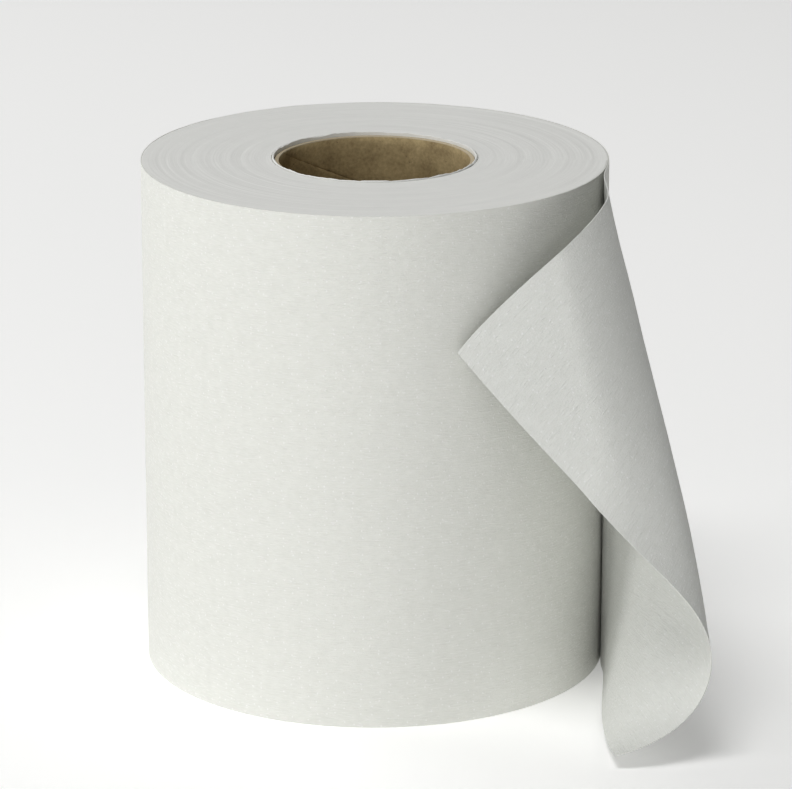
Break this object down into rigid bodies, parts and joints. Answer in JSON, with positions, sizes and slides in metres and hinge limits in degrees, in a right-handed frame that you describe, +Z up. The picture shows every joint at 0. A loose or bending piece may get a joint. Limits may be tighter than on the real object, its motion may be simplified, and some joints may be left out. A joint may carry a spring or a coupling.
{
  "type": "paper towel roll",
  "caption": "Large plain white roll of paper towel on a brown cardboard core, standing on its end, with its loose tail curling back over the side.",
  "frame": {"origin": "on the axis of the core's bore, in the plane that the roll stands on", "axes": "+Z up along the roll's axis; the loose tail leaves the roll on its +X side and runs towards -Y"},
  "size_m": [0.2176, 0.2271, 0.203],
  "materials": {
    "paper": "soft matte creped paper",
    "cardboard": "matte kraft paperboard"
  },
  "bodies": {
    "root": {"cardboard_core": "cardboard", "paper_towel": "paper"}
  },
  "joints": []
}
